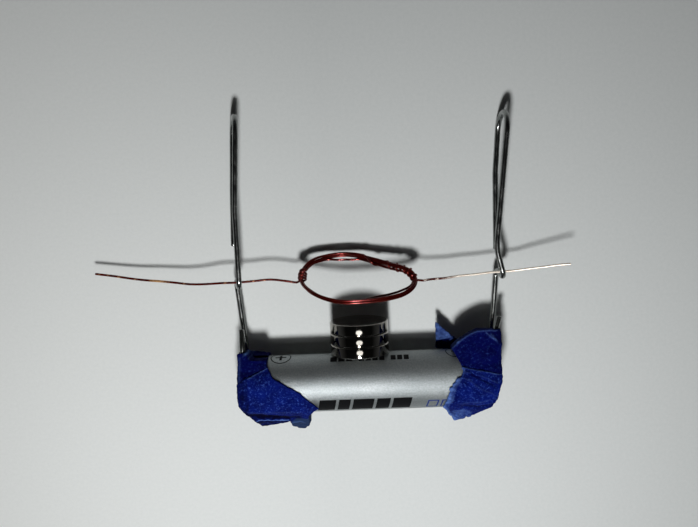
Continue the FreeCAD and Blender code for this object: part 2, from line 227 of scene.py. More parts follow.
class Shader(Nodes):
    """A node material around one Principled shader."""

    def __init__(self, name, **values):
        self.material = bpy.data.materials.new(name)
        super().__init__(self.material)
        self.shader = self.tree.nodes["Principled BSDF"]
        for socket, value in values.items():
            self.shader.inputs[socket.replace("_", " ")].default_value = value
        self.place = self.add("ShaderNodeTexCoord").outputs["Object"]

    def mapped(self, per_mm):
        """Object coordinates scaled to so many units per millimetre, in all or on each axis."""
        scale = [value / MM for value in (per_mm if isinstance(per_mm, tuple) else (per_mm,) * 3)]
        return self.add("ShaderNodeMapping", {"Vector": self.place, "Scale": scale}).outputs[0]

    def along_x(self):
        """The X coordinate, in metres."""
        return self.add("ShaderNodeSeparateXYZ", {0: self.place}).outputs["X"]

    def noise(self, per_mm, detail=3.0, roughness=0.55, distortion=0.0):
        """Noise with so many waves per millimetre, or over coordinates already made."""
        vector = per_mm if isinstance(per_mm, bpy.types.NodeSocket) else self.mapped(per_mm)
        values = {"Vector": vector, "Scale": 1.0, "Detail": detail, "Roughness": roughness,
                  "Distortion": distortion}
        return self.add("ShaderNodeTexNoise", values).outputs["Fac"]

    def attribute(self, name):
        return self.add("ShaderNodeAttribute", attribute_name=name).outputs["Fac"]

    def math(self, operation, first, second=0.0):
        return self.add("ShaderNodeMath", {0: first, 1: second}, operation=operation).outputs[0]

    def blend(self, factor, first, second):
        values = {0: factor, 6: first, 7: second}
        return self.add("ShaderNodeMix", values, data_type="RGBA").outputs[2]

    def drive(self, socket, value):
        self.tree.links.new(value, self.shader.inputs[socket])

    def bump(self, height, strength, distance_mm, below=None):
        values = {"Height": height, "Strength": strength, "Distance": distance_mm * MM}
        if below is not None:
            values["Normal"] = below
        return self.add("ShaderNodeBump", values).outputs[0]


def rgb(red, green, blue):
    """A display colour, 0 to 255, as the linear colour that shaders take."""
    def linear(part):
        part /= 255.0
        return part / 12.92 if part <= 0.04045 else ((part + 0.055) / 1.055) ** 2.4
    return (linear(red), linear(green), linear(blue), 1.0)


def sleeve_material():
    """Printed sleeve: silver ink, satin, with a grain, duller towards the negative end."""
    look = Shader("silver_sleeve", Metallic=0.85, Roughness=0.50, Coat_Weight=0.05, Coat_Roughness=0.30)
    grain = look.noise((3.0, 3.8, 3.8), detail=4.0, roughness=0.8)
    cloud = look.noise((0.12, 0.4, 0.4))
    tone = look.blend(look.spread(cloud, 0.35, 0.7), rgb(146, 152, 153), rgb(158, 163, 164))
    tone = look.blend(look.spread(grain, 0.35, 0.75, 0.0, 0.8), tone, rgb(116, 122, 124))
    look.drive("Base Color", tone)
    dull_from, dull_to = at(-16, 0, 0).x, at(12, 0, 0).x
    dull = look.spread(look.along_x(), dull_from, dull_to, 0.0, 0.19)
    look.drive("Roughness", look.math("ADD", dull, look.spread(grain, 0.3, 0.75, 0.30, 0.38)))
    fine = look.bump(grain, 1.0, 0.085)
    ripple = look.noise((0.25, 1.4, 1.4), detail=2.0)
    look.drive("Normal", look.bump(ripple, 0.15, 0.05, fine))
    return look.material


def print_material(name, colour):
    """Ink printed on the sleeve."""
    look = Shader(name, Roughness=0.60, Specular_IOR_Level=0.08)
    grain = look.noise(9.0)
    paler = tuple(min(part * 1.7 + 0.001, 1.0) for part in colour[:3]) + (1.0,)
    look.drive("Base Color", look.blend(look.spread(grain, 0.45, 0.8), colour, paler))
    look.drive("Normal", look.bump(grain, 0.15, 0.02))
    return look.material


def nickel_material():
    """Mirror nickel plating with faint handling scratches and a warm cast."""
    look = Shader("nickel_plate", Metallic=1.0, Roughness=0.08)
    streak = look.noise((1.0, 14.0, 1.0), detail=5.0, roughness=0.7)
    haze = look.noise(0.45)
    tone = look.blend(look.spread(haze, 0.35, 0.7), rgb(134, 130, 124), rgb(156, 153, 147))
    look.drive("Base Color", tone)
    scratches = look.spread(streak, 0.6, 0.85, 0.0, 0.03)
    look.drive("Roughness", look.math("ADD", look.spread(haze, 0.4, 0.75, 0.05, 0.065), scratches))
    look.drive("Normal", look.bump(streak, 0.06, 0.012))
    return look.material


def clip_material():
    """Galvanised wire: bright, drawn along its length, dulled in patches."""
    look = Shader("galvanised_wire", Metallic=1.0, Roughness=0.30)
    along = look.add("ShaderNodeCombineXYZ", {"X": look.math("MULTIPLY", look.attribute("along"), 0.35)})
    drawn = look.add("ShaderNodeVectorMath", {0: look.mapped((6.0, 0.25, 6.0)), 1: along.outputs[0]},
                     operation="ADD").outputs[0]
    streak = look.noise(drawn, detail=4.0, roughness=0.65)
    patch = look.noise((0.9, 0.5, 0.9))
    tone = look.blend(look.spread(patch, 0.35, 0.7), rgb(118, 121, 120), rgb(152, 154, 152))
    look.drive("Base Color", look.blend(look.spread(streak, 0.5, 0.8, 0.0, 0.5), tone, rgb(72, 75, 74)))
    look.drive("Roughness", look.spread(patch, 0.3, 0.75, 0.17, 0.30))
    look.drive("Normal", look.bump(streak, 0.30, 0.03))
    return look.material


def enamel_shade(look):
    """Colour of the enamel over copper, with thin and thick places."""
    patch = look.noise(0.6)
    fine = look.noise(5.0, detail=2.0)
    tone = look.blend(look.spread(patch, 0.35, 0.7), rgb(78, 13, 9), rgb(112, 26, 17))
    return look.blend(look.spread(fine, 0.5, 0.8, 0.0, 0.4), tone, rgb(58, 10, 8))


def enamel_material():
    """Dark red-brown enamel over copper wire."""
    look = Shader("wire_enamel", Metallic=0.80, Roughness=0.20, Coat_Weight=0.20, Coat_Roughness=0.10)
    look.drive("Base Color", enamel_shade(look))
    look.drive("Normal", look.bump(look.noise(2.5, detail=2.0), 0.15, 0.03))
    return look.material


def lead_material(name, bare_start, bare_end, bare_colour, fade):
    """A lead: enamel, scraped to bare metal over a stretch given in millimetres along it, with painted
    glints as spots of the bare colour.
    """
    look = Shader(name, Metallic=0.50, Roughness=0.30, Coat_Weight=0.15, Coat_Roughness=0.12)
    ragged = look.noise(2.2, detail=4.0, roughness=0.7)
    shift = look.spread(ragged, 0.3, 0.7, -1.2, 1.2)
    along = look.math("ADD", look.attribute("along"), shift)
    begins = look.spread(along, bare_start - fade, bare_start + fade)
    ends = look.spread(along, bare_end - fade, bare_end + fade, 1.0, 0.0)
    # Painted glints: scattered spots of the bare colour along the lead.
    glint_spot_noise = look.noise((0.9, 1.6, 1.6), roughness=0.6)
    glints = look.spread(glint_spot_noise, 0.60, 0.66, 0.0, 0.8)
    bare = look.math("MAXIMUM", look.math("MULTIPLY", begins, ends), glints)
    scrape = look.noise((1.2, 9.0, 9.0), detail=4.0, roughness=0.7)
    metal = look.blend(look.spread(scrape, 0.4, 0.75), bare_colour, rgb(214, 178, 150))
    look.drive("Base Color", look.blend(bare, enamel_shade(look), metal))
    look.drive("Roughness", look.spread(bare, 0.0, 1.0, 0.27, 0.42))
    look.drive("Normal", look.bump(scrape, 0.35, 0.03))
    return look.material


def tape_material(name, deep, lit, speckle):
    """Creped blue masking paper: deep colour, fibre speckle, paler where it is creased or torn, and
    painted shade in near-black navy where the pale attribute is negative.
    """
    look = Shader(name, Roughness=0.85, Specular_IOR_Level=0.04)
    crepe = look.noise((1.3, 4.2, 3.0), detail=4.0, roughness=0.65, distortion=0.4)
    fibre = look.noise(2.6, detail=5.0, roughness=0.8)
    broad = look.noise(0.35)
    tone = look.blend(look.spread(broad, 0.35, 0.7), deep, lit)
    tone = look.blend(look.spread(fibre, 0.54, 0.70, 0.0, speckle), tone, rgb(62, 94, 186))
    tone = look.blend(look.spread(fibre, 0.30, 0.46, 0.45 * speckle, 0.0), tone, rgb(0, 1, 46))
    tone = look.blend(look.attribute("slate"), tone, rgb(34, 50, 84))
    # Painted shade: a negative pale darkens the tape to near-black navy in folds and on faces turned from
    # the lamp.
    tone = look.blend(look.spread(look.attribute("pale"), -1.0, 0.0, 1.0, 0.0), tone, rgb(0, 0, 30))
    worn = look.math("MULTIPLY", look.attribute("pale"), look.spread(fibre, 0.30, 0.62, 0.30, 1.0))
    look.drive("Base Color", look.blend(worn, tone, rgb(92, 124, 192)))
    fine = look.bump(fibre, 0.55, 0.08)
    look.drive("Normal", look.bump(crepe, 0.7, 0.14, fine))
    return look.material


STUDIO_WHITE = (0.95, 0.98, 1.0, 1.0)


def paper_material():
    """The pale sheet under the motor, with painted light that lightens it a little towards the left.
    Far out it stays pale to the eye, where the lamps no longer reach."""
    look = Shader("pale_sheet", Roughness=0.85)
    grain = look.noise(1.6, detail=5.0, roughness=0.7)
    tone = look.blend(look.spread(grain, 0.3, 0.75), rgb(202, 206, 205), rgb(209, 212, 211))
    painted_light_tone = look.blend(look.spread(grain, 0.3, 0.75), rgb(232, 235, 233), rgb(238, 241, 239))
    # Painted light: the tone lightens towards the left, standing in for light that falls more strongly on
    # that side.
    left = look.spread(look.along_x(), -0.07, 0.0, 1.0, 0.0)
    look.drive("Base Color", look.blend(left, tone, painted_light_tone))
    look.shader.inputs["Emission Color"].default_value = STUDIO_WHITE
    distance = look.add("ShaderNodeVectorMath", {0: look.place}, operation="LENGTH").outputs["Value"]
    glow_from, glow_to, glow = 0.09, 0.22, 0.46
    far_out = look.spread(distance, glow_from, glow_to, 0.0, glow)
    look.drive("Emission Strength", look.math("MULTIPLY", look.camera_ray(), far_out))
    return look.material


SLEEVE = sleeve_material()
BLACK_INK = print_material("black_ink", rgb(8, 9, 11))
BLUE_INK = print_material("blue_ink", rgb(34, 52, 112))
NICKEL = nickel_material()
CLIP = clip_material()
ENAMEL = enamel_material()
LEFT_LEAD = lead_material("scraped_lead", 11.0, 13.6, rgb(206, 150, 84), 0.8)
# The right lead's bare stretch is bare metal; its near-white colour is partly a painted highlight of
# glare.
RIGHT_LEAD = lead_material("bare_lead", 5.8, 60.0, rgb(255, 250, 238), 1.6)
# The strip's deeper blues are painted shade: the strip lies on the side of each end that faces away from
# the lamp.
SHADED_STRIP_TAPE = tape_material("blue_crepe_smooth_shaded", rgb(0, 1, 52), rgb(1, 6, 74), 0.30)
WRAP_TAPE = tape_material("blue_crepe_worn", rgb(1, 9, 72), rgb(5, 22, 100), 0.75)


# ---- the cell ----
def on_cell(x, angle, lift):
    """A point on the sleeve; the angle runs from straight up towards +Y."""
    radius = CELL_RADIUS + lift
    return (x, radius * math.sin(angle), CELL_Z + radius * math.cos(angle))


def make_sleeve():
    """The shrunk sleeve, rolled over both ends of the can."""
    bend = 0.42
    film_start, film_end = SLEEVE_START + 0.11, SLEEVE_END - 0.10
    inside = CELL_RADIUS - 0.13
    profile = [(film_start, 3.42), (SLEEVE_START, 3.5), (SLEEVE_START, 4.6)]
    profile += rounded_corner(SLEEVE_START + bend, CELL_RADIUS - bend, bend, -90, 0)
    steps = 40
    straight = SLEEVE_END - SLEEVE_START - 2 * bend
    for step in range(1, steps):
        profile.append((SLEEVE_START + bend + straight * step / steps, CELL_RADIUS))
    profile += rounded_corner(SLEEVE_END - bend, CELL_RADIUS - bend, bend, 0, 90)
    profile += [(SLEEVE_END, 4.55), (film_end, 4.5), (film_end, inside)]
    profile += [(film_start, inside), (film_start, 3.42)]
    lathe("printed_sleeve", profile, 180, Vector((0, 0, CELL_Z)), Vector((1, 0, 0)),
          ("base", SLEEVE, "cell_label", ["cell_label"]))


INK_LIFT = 0.012
STRIP_MM = 0.15


def printed(name, outlines, material):
    """Flat shapes printed on the sleeve: outlines of (x, distance round the sleeve) in millimetres."""
    vertices = []
    faces = []
    for outline in outlines:
        faces.append(tuple(range(len(vertices), len(vertices) + len(outline))))
        vertices += [on_cell(x, round_mm / CELL_RADIUS, INK_LIFT) for x, round_mm in outline]
    mesh = mesh_from(name, vertices, faces)
    add_piece(name, mesh, "base", material, "cell_label", smooth=False)


def bar(x_start, x_end, round_start, round_end, slant=0.0):
    """A rectangle, or a block that leans, cut into narrow strips so that it bends with the sleeve."""
    strips = max(1, round(abs(round_end - round_start) / STRIP_MM))
    step = (round_end - round_start) / strips
    made = []
    for number in range(strips):
        low = round_start + number * step
        lean, next_lean = slant * number / strips, slant * (number + 1) / strips
        made.append([(x_start + lean, low), (x_end + lean, low),
                     (x_end + next_lean, low + step), (x_start + next_lean, low + step)])
    return made


def circle_line(x, round_mm, radius, width):
    """A thin circle, as short pieces."""
    def rim(number, reach):
        angle = math.tau * number / count
        return x + reach * math.cos(angle), round_mm + reach * math.sin(angle)

    count = 72
    inner = radius - width
    return [[rim(number, radius), rim(number + 1, radius), rim(number + 1, inner), rim(number, inner)]
            for number in range(count)]


def hollow_block(x_start, x_end, round_start, round_end, slant, line):
    """The outline of a leaning block."""
    share = slant * line / (round_end - round_start)
    made = bar(x_start, x_start + line, round_start, round_end, slant)
    made += bar(x_end - line, x_end, round_start, round_end, slant)
    made += bar(x_start, x_end, round_start, round_start + line, share)
    made += bar(x_start + slant - share, x_end + slant - share, round_end - line, round_end, share)
    return made


def round_at(degrees):
    """Distance round the sleeve at an angle from straight up, towards the magnets."""
    return math.radians(degrees) * CELL_RADIUS


def row_of_blocks(start, widths, gap, low, high, slant=0.0):
    """Blocks of these widths beside each other along the sleeve, and where the next would start."""
    made = []
    for width in widths:
        made += bar(start, start + width, low, high, slant)
        start += width + gap
    return made, start


def make_print():
    """Plain generic print: polarity marks in circles and rows of small, heavy and hollow blocks."""
    mark = round_at(79.0)
    circle = 1.9
    plus = circle_line(-15.8, mark, circle, 0.20)
    plus += bar(-16.8, -14.8, mark - 0.22, mark + 0.22)
    plus += bar(-16.02, -15.58, mark - 1.0, mark + 1.0)
    printed("plus_mark", plus, BLACK_INK)
    minus = circle_line(15.9, mark, circle, 0.16)
    minus += bar(15.0, 16.8, mark - 0.16, mark + 0.16)
    printed("minus_mark", minus, BLACK_INK)
    row, half_height, word_gap = round_at(65.0), 0.65, 0.85
    small = []
    start = -6.75
    for width, count in ((1.15, 3), (0.95, 4), (0.9, 3)):
        group, start = row_of_blocks(start, [width] * count, 0.27, row - half_height, row + half_height)
        small += group
        start += word_gap
    printed("small_blocks", small, BLACK_INK)
    foot = round_at(-56.0)
    heavy, _ = row_of_blocks(-9.4, (3.0, 2.1, 3.7, 2.4, 3.3), 0.5, foot, round_at(-22.0), 0.55)
    printed("heavy_blocks", heavy, BLACK_INK)
    hollow = []
    for start, end in ((10.0, 12.0), (12.5, 14.0)):
        hollow += hollow_block(start, end, foot, round_at(-31.0), 0.45, 0.26)
    printed("hollow_blocks", hollow, BLUE_INK)


# ---- the magnets ----
MAGNET_GROWTH = 1.06  # a little over the nominal size of the solids


def make_magnet(node):
    """A plated disc with rounded rims, so that the joints between the discs show."""
    low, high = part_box(node)
    start = (low.y - MIDDLE.y) / MM
    end = (high.y - MIDDLE.y) / MM
    radius = MAGNET_GROWTH * (high.x - low.x) / 2 / MM
    x = ((low.x + high.x) / 2 - MIDDLE.x) / MM
    bend = 0.24
    profile = [(0.0, 0.0), (0.0, radius * 0.5), (0.0, radius - bend)]
    profile += rounded_corner(bend, radius - bend, bend, -90, 0, 8)
    profile += rounded_corner(end - start - bend, radius - bend, bend, 0, 90, 8)
    profile += [(end - start, radius * 0.5), (end - start, 0.0)]
    lathe(node + "_disc", profile, 192, Vector((x, start, CELL_Z)), Vector((0, 1, 0)),
          ("magnets", NICKEL, "magnet_nickel", [node]))


# ---- the clips ----
CLIP_RADIUS = 0.5
LOWER_LEG_Z = CELL_Z - 2.5
NEAR_LEG_Z = LOWER_LEG_Z + 4.6
CRADLE_BEND = 1.2
AXLE_Y = 19.25
AXLE_Z = NEAR_LEG_Z - CRADLE_BEND
WIRE_RADIUS = 0.21
HOOK_Z = LOWER_LEG_Z + 4.8
HOOK_END_Z = LOWER_LEG_Z + 3.9
CREST_RUN = 1.6  # how far back in y the wire comes between the crest and the valley
AXLE_GAP = 0.07
LOOP_HEIGHT = 7.0  # between the two legs of the upper hook
LOOP_BEND = 3.45
DIP_START = 22.0  # from this y on, the upper hook leans down to the table
TABLE_GAP = 0.02
# Stations from the lower hook to the upper one, as (x, y) or as x alone; bottom and top are y.
CLIPS = {
    "left": {
        "hook_end": (-22.6, 10.6), "cell": -22.52, "bottom": -2.9, "leg": (-23.1, 12.6),
        "crest": -23.7, "valley": -22.4, "waist": (-22.38, 32.0), "near_top": -21.24,
        "far_top": -22.95, "bow": (-23.85, 34.0), "end": (-24.2, 25.4), "top": 48.8,
    },
    "right": {
        "hook_end": (23.75, 11.2), "cell": 22.52, "bottom": -1.2, "leg": (23.35, 12.3),
        "crest": 24.0, "valley": 24.8, "waist": (23.5, 23.6), "near_top": 26.15,
        "far_top": 25.5, "bow": (24.6, 36.5), "end": (24.4, 22.8), "top": 47.3,
    },
}


def rounded_path(points, radii, step_mm):
    """Straight runs joined by tangent arcs, as closely spaced points."""
    made = [points[0]]
    for before, corner, after, radius in zip(points, points[1:], points[2:], radii):
        arriving = (corner - before).normalized()
        leaving = (after - corner).normalized()
        turn = arriving.angle(leaving)
        setback = radius * math.tan(turn / 2)
        start = corner - arriving * setback
        centre = start + (leaving - arriving * arriving.dot(leaving)).normalized() * radius
        axis = arriving.cross(leaving).normalized()
        count = max(2, math.ceil(radius * turn / step_mm), math.ceil(turn / 0.14))
        for number in range(count + 1):
            made.append(centre + Matrix.Rotation(turn * number / count, 3, axis) @ (start - centre))
    made.append(points[-1])
    return even_points(made, step_mm)


def even_points(points, step_mm):
    """Add points on long runs so that no step is longer than step_mm."""
    made = [points[0]]
    for before, after in zip(points, points[1:]):
        gap = (after - before).length
        if gap < 1e-4:
            continue
        count = max(1, math.ceil(gap / step_mm))
        made += [before.lerp(after, number / count) for number in range(1, count + 1)]
    return made


def clip_line(side):
    """Centre line of a clip: lower hook, crest, cradle, upper hook."""
    x = CLIPS[side]
    top = x["top"]
    slope = math.atan2(CREST_RUN, NEAR_LEG_Z - LOWER_LEG_Z)
    depth = CRADLE_BEND * (math.tan((math.pi / 2 + slope) / 2) - 1)
    valley = AXLE_Y - WIRE_RADIUS - CLIP_RADIUS - AXLE_GAP - depth
    far_leg_z = NEAR_LEG_Z - LOOP_HEIGHT
    dip_per_mm = (far_leg_z - CLIP_RADIUS - TABLE_GAP) / (top - LOOP_HEIGHT / 2 - DIP_START)

    def dipped(station, z):
        return (*station, z - dip_per_mm * (station[1] - DIP_START))

    stations = (
        (*x["hook_end"], HOOK_END_Z),
        (x["cell"], 7.2, HOOK_Z),
        (x["cell"], x["bottom"], HOOK_Z),
        (x["cell"], x["bottom"], LOWER_LEG_Z),
        (x["cell"], 6.0, LOWER_LEG_Z),
        (*x["leg"], LOWER_LEG_Z),
        (x["crest"], valley + CREST_RUN, LOWER_LEG_Z),
        (x["valley"], valley, NEAR_LEG_Z),
        dipped(x["waist"], NEAR_LEG_Z),
        dipped((x["near_top"], top), NEAR_LEG_Z),
        dipped((x["far_top"], top), far_leg_z),
        dipped(x["bow"], far_leg_z),
        dipped(x["end"], far_leg_z),
    )
    bends = [6.0, 2.4, 2.4, 20.0, 20.0, CRADLE_BEND, CRADLE_BEND, 8.0, LOOP_BEND, LOOP_BEND, 20.0]
    return rounded_path([Vector(station) for station in stations], bends, 0.35)


def make_clip(side):
    """One unfolded paper clip."""
    name = side + "_clip"
    wire(name + "_wire", clip_line(side), CLIP_RADIUS, 28, ("base", CLIP, "clip_wire", [name]))


# ---- the rotor ----
COIL_X = -1.12
HALF_LENGTH = 10.05
HALF_WIDTH = 5.35
END_BEND = 4.2
TILT = math.radians(47.0)
ACROSS = Vector((0, math.cos(TILT), -math.sin(TILT)))
NORMAL = Vector((1, 0, 0)).cross(ACROSS)
SKEW = math.radians(4.5)
COIL_CENTRE = Vector((COIL_X, AXLE_Y, AXLE_Z))
BUNDLE_LIFT = 0.20
WRAP_WIDE = 0.60
WRAP_HIGH = 0.62
PRESSED_IN = 1.75
BULGED_OUT = 0.45


def oval_frame(fraction):
    """Point and outward direction of the bundle's centre line; 0 is the left end and a quarter is
    the middle of the far side. The oval is pressed in beyond that, and bulges a little opposite."""
    rise = HALF_LENGTH - END_BEND
    side_bend = (rise ** 2 + HALF_WIDTH ** 2 - END_BEND ** 2) / (2 * (HALF_WIDTH - END_BEND))
    drop = side_bend - HALF_WIDTH
    swing = math.atan2(drop, rise)
    end_arc = END_BEND * swing
    side_arc = side_bend * (math.pi / 2 - swing)
    quarter = end_arc + side_arc
    share = fraction % 1.0
    travel = share * 4 * quarter
    leg, part = divmod(travel, quarter)
    if leg in (1, 3):
        part = quarter - part
    if part <= end_arc:
        angle = part / END_BEND
        along, across = rise + END_BEND * math.cos(angle), END_BEND * math.sin(angle)
    else:
        angle = swing + (part - end_arc) / side_bend
        along, across = side_bend * math.cos(angle), side_bend * math.sin(angle) - drop
    outward = [math.cos(angle), math.sin(angle)]
    if leg in (0, 3):
        along, outward[0] = -along, -outward[0]
    if leg in (2, 3):
        across, outward[1] = -across, -outward[1]
    across -= PRESSED_IN * hump(0.16, 0.58, share) + BULGED_OUT * hump(0.70, 0.95, share)
    return COIL_CENTRE + in_plane(along, across), in_plane(*outward)


def hump(low, high, value):
    """A smooth rise from 0 at low to 1 half way and back to 0 at high."""
    part = min(max((value - low) / (high - low), 0.0), 1.0)
    return math.sin(math.pi * part) ** 2


def in_plane(along, across):
    """A direction in the plane of the coil, which sits a little skew on its axis."""
    sideways = along * math.cos(SKEW) + across * math.sin(SKEW)
    return Vector((sideways, 0, 0)) + ACROSS * (across * math.cos(SKEW) - along * math.sin(SKEW))


# Where each turn lies in the bundle's section: (outwards, upwards).
LAYERS = ((-0.26, -0.14), (0.18, -0.14), (-0.04, 0.24), (0.38, 0.22), (0.17, 0.58), (0.20, 0.60))
# Where a turn strays from the bundle: (turn, how far out, leaves from, to, comes back from, to).
STRAYS = (
    (0, -0.72, 0.50, 0.59, 0.66, 0.76), (0, -0.55, 0.125, 0.175, 0.21, 0.26),
    (1, -0.40, 0.78, 0.84, 0.91, 0.97), (2, 0.20, 0.10, 0.16, 0.20, 0.26),
)


def layer_at(turns):
    """Where the wire lies in the bundle's section after so many turns: (offset, lift)."""
    number = min(int(turns), len(LAYERS) - 2)
    step = eased(0.86, 1.0, turns - number)
    here, there = LAYERS[number], LAYERS[number + 1]
    return here[0] + (there[0] - here[0]) * step, here[1] + (there[1] - here[1]) * step


def winding_point(turns):
    """The wire in the winding, with the small waves that hand winding leaves."""
    offset, lift = layer_at(turns)
    point, outward = oval_frame(turns)
    whole = int(turns)
    wave = 0.05 * math.sin(math.tau * 2 * turns + whole * 2.1)
    wave += 0.04 * math.sin(math.tau * 5 * turns + whole)
    part = turns % 1.0
    stray = 0.0
    for turn, reach, leaves, gone, returns, back in STRAYS:
        if turn == whole:
            stray += reach * eased(leaves, gone, part) * (1 - eased(returns, back, part))
    return point + outward * (offset + wave + stray) + NORMAL * (lift + 0.6 * wave)


def wrap_point(turns, angle, looseness):
    """The wire where it is wound flat round the bundle."""
    point, outward = oval_frame(turns)
    wide = (WRAP_WIDE + looseness) * math.cos(angle)
    high = BUNDLE_LIFT + (WRAP_HIGH + looseness) * math.sin(angle)
    return point + outward * wide + NORMAL * high


def curve_through(points, step_mm):
    """Catmull-Rom curve through points, evenly cut."""
    padded = [points[0] * 2 - points[1]] + points + [points[-1] * 2 - points[-2]]
    made = [points[0]]
    for p0, p1, p2, p3 in zip(padded, padded[1:], padded[2:], padded[3:]):
        count = max(2, math.ceil((p2 - p1).length / step_mm))
        for number in range(1, count + 1):
            t = number / count
            made.append(0.5 * (2 * p1 + (p2 - p0) * t + (2 * p0 - 5 * p1 + 4 * p2 - p3) * t ** 2
                               + (3 * p1 - p0 - 3 * p2 + p3) * t ** 3))
    return made


def lead_points(stations):
    """Lead stations as (x, forward of the axle, above the axle)."""
    return [Vector((x, AXLE_Y + forward, AXLE_Z + up)) for x, forward, up in stations]


LEFT_STATIONS = [
    (-49.55, 2.28, -2.8), (-45.9, 1.73, -2.6), (-43.1, 1.25, -2.3), (-40.2, 0.85, -2.0),
    (-37.3, 0.57, -1.7), (-34.55, 0.24, -1.4), (-31.75, -0.1, -1.0), (-28.9, -0.14, -0.6),
    (-25.7, 0.0, -0.05), (-22.8, 0.0, 0.0), (-19.8, 0.15, 0.0), (-16.95, 0.29, 0.0),
    (-14.3, -0.04, 0.1), (-12.25, -0.44, 0.1),
]
RIGHT_STATIONS = [
    (10.4, -0.95, 0.5), (11.9, -0.8, 0.3), (14.3, -0.72, 0.15), (17.05, -0.43, 0.05), (19.7, -0.3, 0.0),
    (22.4, -0.05, 0.0), (24.5, 0.0, 0.0), (26.75, 0.12, 0.15), (29.3, 0.45, 0.8), (31.8, 0.74, 1.4),
    (34.3, 1.06, 2.0), (36.1, 1.2, 2.5),
]
WIND_START = 0.03
WIND_TURNS = 5.25
MM_PER_TURN = 49.5
STEP = 0.13
# The pieces that the wire is cut into: (name, node that it stands for, look, slot).
ROTOR_PIECES = (
    ("left_lead_wire", "left_lead", LEFT_LEAD, "enamelled_copper"),
    ("left_knob", "left_binding", ENAMEL, "enamelled_copper"),
    ("coil_winding", "coil_turns", ENAMEL, "enamelled_copper"),
    ("right_spiral", "right_binding", ENAMEL, "enamelled_copper"),
    ("right_lead_wire", "right_lead", RIGHT_LEAD, "lead_wire"),
)


def knob_points():
    """The wire's first end, wound tightly round the left end of the bundle."""
    wraps = 3.4
    count = round(wraps * 50)
    made = []
    for number in range(count + 1):
        part = number / count
        turns = 0.044 * part - 0.023
        made.append(wrap_point(turns, math.tau * wraps * part, 0.05 * math.sin(math.pi * part)))
    return made


def winding_points():
    """The turns of the winding."""
    count = round(WIND_TURNS * MM_PER_TURN / STEP)
    span = WIND_TURNS - WIND_START
    return [winding_point(WIND_START + span * number / count) for number in range(count + 1)]


def spiral_points():
    """The wire's last end, wound round the far side of the bundle; its first wrap is a long one."""
    wraps, long_wraps, long_share = 6.0, 1.0, 0.40
    first_angle = 0.6
    count = round(wraps * 60)
    made = []
    for number in range(count + 1):
        part = number / count
        done = wraps * part
        if done < long_wraps:
            travel = long_share * done / long_wraps
        else:
            travel = long_share + (1 - long_share) * (done - long_wraps) / (wraps - long_wraps)
        travel += 0.012 * math.sin(done * 4.1)
        looseness = 0.05 * math.sin(done * 3.3) - 0.12 * (1 - eased(0.0, 0.06, part))
        angle = first_angle + (math.tau * wraps - first_angle) * part
        made.append(wrap_point(WIND_TURNS + 0.006 + 0.243 * travel, angle, looseness))
    return made


def smoothed(points, rounds):
    """Round off the corners between stretches by averaging neighbours."""
    for _ in range(rounds):
        middle = [(a + 2 * b + c) / 4 for a, b, c in zip(points, points[1:], points[2:])]
        points = [points[0]] + middle + [points[-1]]
    return points


def make_rotor():
    """One length of wire: lead, knob, winding, spiral binding, lead. It is cut into five pieces."""
    left_lead = curve_through(lead_points(LEFT_STATIONS), STEP)
    right_lead = curve_through(lead_points(RIGHT_STATIONS), STEP)
    line = []
    cuts = [0]
    for stretch in (left_lead, knob_points(), winding_points(), spiral_points(), right_lead):
        line += stretch if not line else even_points([line[-1], stretch[0]], STEP)[1:] + stretch[1:]
        cuts.append(len(line) - 1)
    line = smoothed(line, 5)
    for (name, node, look, slot), first, last in zip(ROTOR_PIECES, cuts, cuts[1:]):
        wire(name, line, WIRE_RADIUS, 14, ("rotor", look, slot, [node]), first, last)


# ---- the tape ----
# The seam of each end seen from above: the strip lies beyond it, the wrap on the near side.
SEAMS = {"left": ((-23.27, 1.6), (-17.9, 4.05)), "right": ((16.6, 3.0), (23.4, 1.6))}
UNDERLAP = 1.2
TAPE_VOXEL = 0.12
TAPE_ROUNDS = 3
TAPE_SWELL = 0.04  # closes the hairline between the two solids before they are joined


def tape_blank(side, kind):
    """The strip or the wrap of one end as an even, softened mesh, cut off at the seam."""
    work = bmesh.new()
    for node in (side + "_tape_strip", side + "_tape_wrap"):
        work.from_mesh(nodes[node].data)
    bmesh.ops.remove_doubles(work, verts=work.verts, dist=1e-7)
    work.normal_update()
    for vertex in work.verts:
        vertex.co += vertex.normal * TAPE_SWELL * MM
    joined = bpy.data.meshes.new("joined")
    work.to_mesh(joined)
    work.free()
    joined.transform(Matrix.Scale(1 / MM, 4) @ Matrix.Translation(-MIDDLE))
    holder = linked("holder", joined)
    remesh = holder.modifiers.new("remesh", "REMESH")
    remesh.mode = "VOXEL"
    remesh.voxel_size = TAPE_VOXEL
    smooth = holder.modifiers.new("smooth", "SMOOTH")
    smooth.iterations = TAPE_ROUNDS
    smooth.factor = 0.5
    ready = holder.evaluated_get(bpy.context.evaluated_depsgraph_get())
    mesh = bpy.data.meshes.new_from_object(ready)
    bpy.data.objects.remove(holder)
    (x0, y0), (x1, y1) = SEAMS[side]
    keep_side = Vector((y0 - y1, x1 - x0, 0.0)).normalized()
    if kind == "strip":
        y0 -= UNDERLAP
    else:
        keep_side = -keep_side
    work = bmesh.new()
    work.from_mesh(mesh)
    drop_loose(work)
    cut_plane(work, Vector((x0, y0, 0.0)), keep_side)
    drop_loose(work)
    work.to_mesh(mesh)
    work.free()
    return mesh


def drop_loose(work):
    """Keep only the largest connected piece."""
    left = set(work.verts)
    islands = []
    while left:
        island = [left.pop()]
        for vertex in island:
            for edge in vertex.link_edges:
                other = edge.other_vert(vertex)
                if other in left:
                    left.remove(other)
                    island.append(other)
        islands.append(island)
    for island in sorted(islands, key=len)[:-1]:
        bmesh.ops.delete(work, geom=island, context="VERTS")


